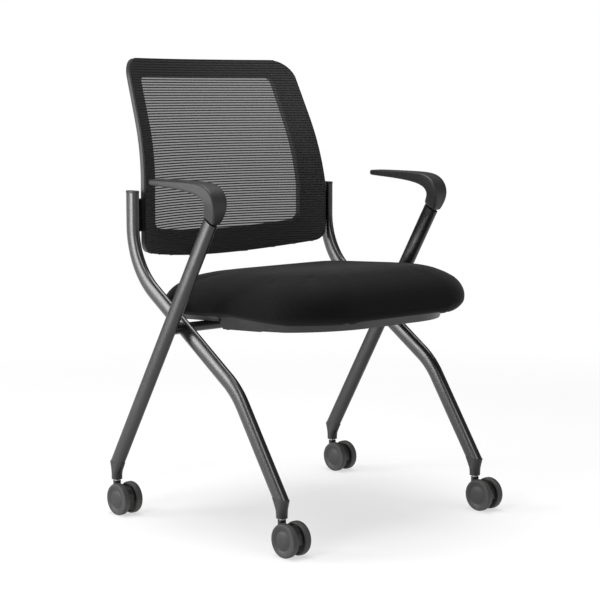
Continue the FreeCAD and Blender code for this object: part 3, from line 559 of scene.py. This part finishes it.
bm = bmesh.new()
outer_top = skirt_ring(bm, 0.0, PAN_TOP, False)
outer_low = skirt_ring(bm, PAN_DRAFT, SKIRT_LOW, True)
inner_low = skirt_ring(bm, PAN_DRAFT + PAN_WALL, SKIRT_LOW, True)
inner_top = skirt_ring(bm, 0.0015 + PAN_WALL, PAN_TOP - PAN_PLATE, False)
for first, second in ((outer_top, outer_low), (outer_low, inner_low), (inner_low, inner_top)):
    bridge(bm, first, second)
bmesh.ops.contextual_create(bm, geom=outer_top)
bmesh.ops.contextual_create(bm, geom=inner_top)
deck = [(PAN_HALF, SKIRT_REAR - PAN_WALL), (PAN_HALF, 0.053), (PAN_HALF - 0.0025, 0.0595),
        (PAN_HALF - 0.009, 0.062)]
deck = deck + [(-x, v) for x, v in deck[::-1]]
deck_top = ring_of(bm, [in_seat(x, v, PAN_TOP) for x, v in deck])
deck_low = ring_of(bm, [in_seat(x, v, PAN_TOP - PAN_LIP) for x, v in deck])
bridge(bm, deck_top, deck_low)
bmesh.ops.contextual_create(bm, geom=deck_top)
bmesh.ops.contextual_create(bm, geom=deck_low)


def block(bm, low, high):
    """A seat-aligned block between two corners."""
    made = bmesh.ops.create_cube(bm, size=1.0)["verts"]
    middle = (Vector(low) + Vector(high)) / 2
    size = Vector(high) - Vector(low)
    for v in made:
        v.co = in_seat(*(middle[i] + v.co[i] * size[i] for i in range(3)))


for x in (-0.150, -0.0375, 0.0375, 0.150):
    front = PAN_FRONT + 0.014 if abs(x) < 0.1 else PAN_FRONT + 0.045
    block(bm, (x - PAN_WALL / 2, front, 0.004),
          (x + PAN_WALL / 2, SKIRT_REAR - 0.002, PAN_TOP - 0.003))
pan = add_piece("seat_pan_moulding", bm, pan_grey, "seat")
rounding = pan.modifiers.new("rounding", "BEVEL")
rounding.width = 0.0016
rounding.segments = 2
rounding.limit_method = "ANGLE"
rounding.angle_limit = math.radians(50)
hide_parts("seat_pan")


# Seat board: raw plywood inside the cushion, which carries the foam and takes the screws of
# the pan. The shape is the part's own, and the cover hides it.
plywood, nodes, links, shader = blank_material("raw_plywood")
shader.inputs["Roughness"].default_value = 0.7
mottle(nodes, links, 0.02, (0.42, 0.29, 0.17), (0.55, 0.40, 0.25),
       shader.inputs["Base Color"], 6)
dress("seat_board", plywood)


# Seat cushion: foam under one fine black cloth cover, pulled tight round the board. It is
# crowned, drawn in at the pan's edge, and hangs a little over the pan at the front.
CUSHION_HALF = 0.2262
CUSHION_FRONT = -0.3175
CUSHION_REAR = 0.1262
CUSHION_HIGH = 0.0765
CUSHION_MIDDLE = (CUSHION_FRONT + CUSHION_REAR) / 2
CUSHION_REACH = (CUSHION_REAR - CUSHION_FRONT) / 2
FRONT_CORNER = 0.104
REAR_CORNER = 0.060
HANG = 0.0135
HANG_START = -0.085
HANG_RUN = 0.15
HANG_TOP = 0.9
FABRIC_STEP = 0.006
FABRIC_TRAVEL = 0.0025

cushion_cloth, nodes, links, shader = blank_material("cushion_cloth")
shader.inputs["Roughness"].default_value = 0.82
shader.inputs["Sheen Weight"].default_value = 0.06
shader.inputs["Sheen Roughness"].default_value = 0.45
shader.inputs["Specular IOR Level"].default_value = 0.08
mottle(nodes, links, 0.0012, (0.0025, 0.0025, 0.0028), (0.0055, 0.0055, 0.0060),
       shader.inputs["Base Color"], 1)
place = nodes.new("ShaderNodeTexCoord")
weave = []
for direction in ("X", "Y"):
    wave = nodes.new("ShaderNodeTexWave")
    wave.wave_type = "BANDS"
    wave.bands_direction = direction
    wave.inputs["Scale"].default_value = 1 / 0.0045
    wave.inputs["Distortion"].default_value = 0.8
    wave.inputs["Detail Scale"].default_value = 40
    links.new(place.outputs["Object"], wave.inputs["Vector"])
    weave.append(wave)
cross = nodes.new("ShaderNodeMath")
cross.operation = "MULTIPLY"
for index, wave in enumerate(weave):
    links.new(wave.outputs["Fac"], cross.inputs[index])
bump = nodes.new("ShaderNodeBump")
bump.inputs["Strength"].default_value = 0.25
bump.inputs["Distance"].default_value = 0.0003
links.new(cross.outputs[0], bump.inputs["Height"])
links.new(bump.outputs["Normal"], shader.inputs["Normal"])


def cushion_plan(inset, rear_inset, front_radius, rear_radius):
    """The cushion's outline at one level, with as many points whatever its size."""
    half = CUSHION_HALF - inset
    front, rear = CUSHION_FRONT + inset, CUSHION_REAR - rear_inset
    right = []
    for step in range(8):
        right.append(((half - rear_radius) * step / 8, rear))
    for step in range(13):
        turn = step / 12 * math.pi / 2
        right.append((half - rear_radius + rear_radius * math.sin(turn),
                      rear - rear_radius + rear_radius * math.cos(turn)))
    low, high = front + front_radius, rear - rear_radius
    for step in range(1, 12):
        right.append((half, high + (low - high) * step / 12))
    for step in range(17):
        turn = step / 16 * math.pi / 2
        right.append((half - front_radius + front_radius * math.cos(turn),
                      low - front_radius * math.sin(turn)))
    for step in range(1, 9):
        right.append(((half - front_radius) * (1 - step / 8), front))
    return right + [(-x, v) for x, v in right[-2:0:-1]]


# share of the height, inset, inset at the rear
CUSHION_LEVELS = ((0.000, 0.0125, 0.0100), (0.060, 0.0045, 0.0040), (0.170, 0.0005, 0.0008),
                  (0.300, 0.0000, 0.0000), (0.440, 0.0022, 0.0030), (0.570, 0.0070, 0.0110),
                  (0.690, 0.0150, 0.0220), (0.795, 0.0270, 0.0390), (0.880, 0.0430, 0.0600),
                  (0.945, 0.0650, 0.0850), (0.985, 0.0950, 0.1150), (1.000, 0.1300, 0.1500))


def cushion_ring(bm, share, inset, rear_inset, droops=True):
    """One ring of the cover; its lower edge hangs over the pan more and more to the front."""
    points = []
    front_radius = max(0.03, FRONT_CORNER - inset * 0.30 + 0.030 * max(0.0, 1 - share / 0.25))
    rear_radius = max(0.02, REAR_CORNER - inset * 0.30)
    for x, v in cushion_plan(inset, rear_inset, front_radius, rear_radius):
        side = min(1.0, abs(x) / CUSHION_HALF)
        ahead = max(0.0, -(v - CUSHION_MIDDLE) / CUSHION_REACH)
        fall = (0.03 * side ** 4 + 0.10 * ahead ** 4 * side ** 3) * share
        hang = 0.0
        if droops:
            forward = min(1.0, max(0.0, (HANG_START - v) / HANG_RUN))
            hang = HANG * forward * (1 - share / HANG_TOP) ** 2 if share < HANG_TOP else 0.0
        points.append(in_seat(x, v, PAN_TOP + CUSHION_HIGH * share * (1 - fall) - hang))
    return ring_of(bm, points)


bm = bmesh.new()
rings = [cushion_ring(bm, -0.008, 0.0131, 0.0110, False)]
rings += [cushion_ring(bm, *level) for level in CUSHION_LEVELS]
for first, second in zip(rings, rings[1:]):
    bridge(bm, first, second)
for ring in (rings[0], rings[-1]):
    bmesh.ops.contextual_create(bm, geom=ring)
for cap in [f for f in bm.faces if len(f.verts) > 4]:
    if cap.calc_center_median().z > HINGE.z + 0.05:
        bmesh.ops.inset_individual(bm, faces=[cap], thickness=0.045)
bmesh.ops.triangulate(bm, faces=[f for f in bm.faces if len(f.verts) > 4])
cushion = add_piece("cushion_cover", bm, cushion_cloth, "seat", 180)
remesh = cushion.modifiers.new("remesh", "REMESH")
remesh.mode = "VOXEL"
remesh.voxel_size = FABRIC_STEP
remesh.use_smooth_shade = True
shaped = bpy.data.meshes.new_from_object(
    cushion.evaluated_get(bpy.context.evaluated_depsgraph_get()))
cushion.modifiers.remove(remesh)
cushion.data = shaped
cushion.data.shade_smooth()
held = cushion.vertex_groups.new(name="held")
tilt = Matrix.Rotation(SEAT_TILT, 3, "X")
held.add([v.index for v in shaped.vertices
          if (tilt @ (v.co - HINGE)).z < PAN_TOP + 0.006], 1.0, "REPLACE")
cloth = cushion.modifiers.new("cloth", "CLOTH")
cloth.settings.quality = 5
cloth.settings.mass = 0.3
cloth.settings.tension_stiffness = cloth.settings.compression_stiffness = 15
cloth.settings.use_pressure = True
cloth.settings.uniform_pressure_force = 4
cloth.settings.effector_weights.gravity = 0
cloth.settings.vertex_group_mass = "held"
cloth.collision_settings.use_collision = False
for number in range(1, 21):
    bpy.context.scene.frame_set(number)
swelled = cushion.evaluated_get(bpy.context.evaluated_depsgraph_get()).data
travels = [after.co - before.co for before, after in zip(shaped.vertices, swelled.vertices)]
cushion.modifiers.remove(cloth)
for v, travel in zip(shaped.vertices, travels):
    v.co += travel * min(1.0, FABRIC_TRAVEL / max(travel.length, 0.00001))
bpy.context.scene.frame_set(1)
smooth = cushion.modifiers.new("smooth", "SUBSURF")
smooth.levels = smooth.render_levels = 1
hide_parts("seat_cushion")


# Armrests: one matt charcoal moulding a side, pushed on the rear tube and held by its screw.
# A flat pad turns down at the front in a round nose, with a soft crease between side and
# face, and narrows to the tube.
ARM_X = 0.2775
arm_charcoal = plain_finish("arm_moulding", (0.009, 0.009, 0.010), (0.013, 0.013, 0.014),
                            0.50, 0.0006, 0.16)
# centre fore and aft, centre height, direction of the sweep in degrees, depth, width
ARM_STATIONS = (
    (0.0930, 0.6290, 180, 0.0095, 0.0300),
    (0.0860, 0.6288, 180, 0.0108, 0.0345),
    (0.0500, 0.6280, 180, 0.0128, 0.0365),
    (0.0000, 0.6264, 181, 0.0160, 0.0370),
    (-0.0375, 0.6236, 184, 0.0205, 0.0370),
    (-0.0600, 0.6190, 200, 0.0250, 0.0368),
    (-0.0735, 0.6105, 228, 0.0275, 0.0362),
    (-0.0802, 0.5985, 256, 0.0285, 0.0345),
    (-0.0792, 0.5860, 281, 0.0300, 0.0300),
    (-0.0718, 0.5735, 298, 0.0318, 0.0220),
    (-0.0662, 0.5655, 301, 0.0318, 0.0176),
)


def arm_section(bm, side, station):
    """A rounded rectangle across the sweep."""
    y, z, direction, deep, wide = station
    turn = math.radians(direction)
    out = Vector((0, -math.sin(turn), math.cos(turn)))
    radius = min(0.0042, deep * 0.42)
    points = []
    for quarter, (across, up) in enumerate(((1, 1), (-1, 1), (-1, -1), (1, -1))):
        for step in range(5):
            angle = (quarter + step / 4) * math.pi / 2
            x = across * (wide / 2 - radius) + radius * math.cos(angle)
            h = up * (deep / 2 - radius) + radius * math.sin(angle)
            points.append(Vector((side * ARM_X + x, y, z)) + out * h)
    return ring_of(bm, points)


for side, name in SIDES:
    bm = bmesh.new()
    sections = [arm_section(bm, side, station) for station in ARM_STATIONS]
    for first, second in zip(sections, sections[1:]):
        bridge(bm, first, second)
    bmesh.ops.contextual_create(bm, geom=sections[0])
    bmesh.ops.contextual_create(bm, geom=sections[-1])
    arm = add_piece(f"arm_{name}", bm, arm_charcoal, "frame", 60)
    soft = arm.modifiers.new("soft", "SUBSURF")
    soft.levels = soft.render_levels = 2
    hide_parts(f"armrest_{name}")


# Casters: a black moulded half-round hood on a bright steel stem, whose ring shows under the
# socket. A wheel on each side of the hood is a plastic hub with a faint ring and a soft,
# slightly crowned tread, and turns on the hood's axle.
WHEEL_RADIUS = 0.0300
STEM_RING_RADIUS = 0.0052
STEM_RING_HIGH = 0.0027
STEM_RING_Z = 0.06155
STEMS = {"front": (0.2465, -0.2162), "rear": (0.2796, 0.2162)}
hub_black = plain_finish("hub_moulding", (0.016, 0.016, 0.017), (0.022, 0.022, 0.023),
                         0.45, 0.0008, 0.08)
tread_grey = plain_finish("tread", (0.036, 0.035, 0.033), (0.050, 0.048, 0.046),
                          0.60, 0.0007, 0.15)
hood_black, nodes, links, shader = blank_material("caster_moulding")
shader.inputs["Roughness"].default_value = 0.38
mottle(nodes, links, 0.02, (0.012, 0.012, 0.013), (0.018, 0.018, 0.019),
       shader.inputs["Base Color"])
grain(nodes, links, shader, 0.0008, 0.08)
steel, nodes, links, shader = blank_material("bright_steel")
shader.inputs["Metallic"].default_value = 1.0
shader.inputs["Base Color"].default_value = (0.62, 0.62, 0.63, 1)
mottle(nodes, links, 0.003, 0.22, 0.34, shader.inputs["Roughness"])

# depth from the wheel's inner face and radius, from the hub's middle round the tread
WHEEL_SIDE = ((0.0118, 0.0030), (0.0118, 0.0160), (0.01155, 0.0166), (0.01155, 0.0178),
              (0.0118, 0.0184), (0.0128, 0.0240), (0.0130, 0.0262))
WHEEL_TREAD = ((0.0130, 0.0270), (0.0124, 0.0288), (0.0104, 0.0298), (0.0065, 0.0300),
               (0.0026, 0.0298), (0.0006, 0.0288), (0.0000, 0.0270))
WHEEL_BACK = ((0.0000, 0.0262), (0.0020, 0.0250), (0.0020, 0.0040))


def spun(bm, points, middle, side, steps=64):
    """Turns a profile of depths and radii round the axle; side is the way outwards."""
    corners = [bm.verts.new(middle + Vector((side * depth, 0, radius)))
               for depth, radius in points]
    edges = [bm.edges.new(pair) for pair in zip(corners, corners[1:])]
    return bmesh.ops.spin(bm, geom=corners + edges, cent=middle, axis=(1, 0, 0),
                          angle=2 * math.pi, steps=steps, use_merge=True)


for end in STEMS:
    for outwards, hand in SIDES:
        dress(f"{end}_{hand}_fork", hood_black)
        bm = bmesh.new()
        bmesh.ops.create_cone(bm, cap_ends=True, segments=32, radius1=STEM_RING_RADIUS,
                              radius2=STEM_RING_RADIUS, depth=STEM_RING_HIGH)
        stem_x, stem_y = STEMS[end]
        bmesh.ops.translate(bm, verts=bm.verts, vec=(outwards * stem_x, stem_y, STEM_RING_Z))
        add_piece(f"{end}_{hand}_stem_ring", bm, steel, f"{end}_{hand}_caster")
        for place_name, side in (("outer", outwards), ("inner", -outwards)):
            node = f"{end}_{hand}_{place_name}_wheel"
            low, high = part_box(node)
            inner_face = low.x if side > 0 else high.x
            middle = Vector((inner_face, (low.y + high.y) / 2, WHEEL_RADIUS))
            body = f"{end}_{hand}_{place_name}"
            bm = bmesh.new()
            spun(bm, ((0.0118, 0.0000),) + WHEEL_SIDE, middle, side)
            spun(bm, WHEEL_BACK + ((0.0020, 0.0000),), middle, side)
            bmesh.ops.remove_doubles(bm, verts=bm.verts, dist=0.00001)
            hub = add_piece(f"{node}_hub", bm, hub_black, body)
            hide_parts(node)
            bm = bmesh.new()
            spun(bm, (WHEEL_SIDE[-1],) + WHEEL_TREAD + (WHEEL_BACK[0],), middle, side)
            add_piece(f"{node}_tread", bm, tread_grey, body)


# Studio: a plain pale floor that fades into white surroundings, soft boxes at the left, at
# the right and above, and the camera at the photograph's place.
bpy.context.scene.view_settings.view_transform = "Standard"
# Painted light: the floor partly glows white. Within 0.8 m of the middle under the chair it is
# 60 per cent glow, which lightens the floor and the shadows on it. The glow rises to full by
# 2.2 m, where the floor fades into the white surroundings.
floor_material, nodes, links, shader = blank_material("pale_floor")
shader.inputs["Base Color"].default_value = (0.93, 0.93, 0.93, 1)
shader.inputs["Roughness"].default_value = 0.9
shader.inputs["Specular IOR Level"].default_value = 0.1
place = nodes.new("ShaderNodeTexCoord")
reach = nodes.new("ShaderNodeVectorMath")
reach.operation = "LENGTH"
links.new(place.outputs["Object"], reach.inputs[0])
fade = nodes.new("ShaderNodeMapRange")
fade.interpolation_type = "SMOOTHSTEP"
fade.inputs["From Min"].default_value = 0.8
fade.inputs["To Min"].default_value = 0.60
fade.inputs["From Max"].default_value = 2.2
links.new(reach.outputs["Value"], fade.inputs["Value"])
glow = nodes.new("ShaderNodeEmission")
mix = nodes.new("ShaderNodeMixShader")
links.new(fade.outputs["Result"], mix.inputs["Fac"])
links.new(shader.outputs[0], mix.inputs[1])
links.new(glow.outputs[0], mix.inputs[2])
links.new(mix.outputs[0], nodes["Material Output"].inputs["Surface"])
bm = bmesh.new()
bmesh.ops.create_grid(bm, x_segments=1, y_segments=1, size=30.0)
mesh = bpy.data.meshes.new("floor")
bm.to_mesh(mesh)
bm.free()
mesh.materials.append(floor_material)
floor = bpy.data.objects.new("floor", mesh)
bpy.context.scene.collection.objects.link(floor)

world = bpy.data.worlds.new("studio")
bpy.context.scene.world = world
world.use_nodes = True
nodes, links = world.node_tree.nodes, world.node_tree.links
around = nodes["Background"]
around.inputs["Color"].default_value = (1, 1, 1, 1)
rays = nodes.new("ShaderNodeLightPath")
strength = nodes.new("ShaderNodeMapRange")
strength.inputs["To Min"].default_value = 0.16
strength.inputs["To Max"].default_value = 1.0
links.new(rays.outputs["Is Camera Ray"], strength.inputs["Value"])
links.new(strength.outputs["Result"], around.inputs["Strength"])


def soft_box(name, place, target, wide, high, power):
    light = bpy.data.lights.new(name, "AREA")
    light.shape = "RECTANGLE"
    light.size, light.size_y = wide, high
    light.energy = power
    obj = bpy.data.objects.new(name, light)
    obj.location = place
    obj.rotation_mode = "QUATERNION"
    obj.rotation_quaternion = (Vector(target) - Vector(place)).to_track_quat("-Z", "Y")
    obj.visible_camera = False
    bpy.context.scene.collection.objects.link(obj)


soft_box("key", (-2.6, -0.4, 1.7), (0, 0, 0.45), 1.0, 2.0, 34)
soft_box("side", (-2.5, 1.9, 0.8), (0, 0, 0.45), 1.1, 2.4, 75)
soft_box("fill", (1.6, -3.0, 1.4), (0, 0, 0.45), 1.0, 1.6, 9)
soft_box("top", (0.0, 0.2, 3.2), (0, 0, 0.4), 2.2, 2.2, 95)

camera_data = bpy.data.cameras.new("camera")
camera_data.sensor_width = 36.0
camera_data.lens = 101.78
camera = bpy.data.objects.new("camera", camera_data)
camera.location = (-2.1348, -2.3451, 0.7899)
camera.rotation_mode = "QUATERNION"
camera.rotation_quaternion = Vector((0.6667, 0.7353, -0.1220)).to_track_quat("-Z", "Y")
bpy.context.scene.collection.objects.link(camera)
bpy.context.scene.camera = camera
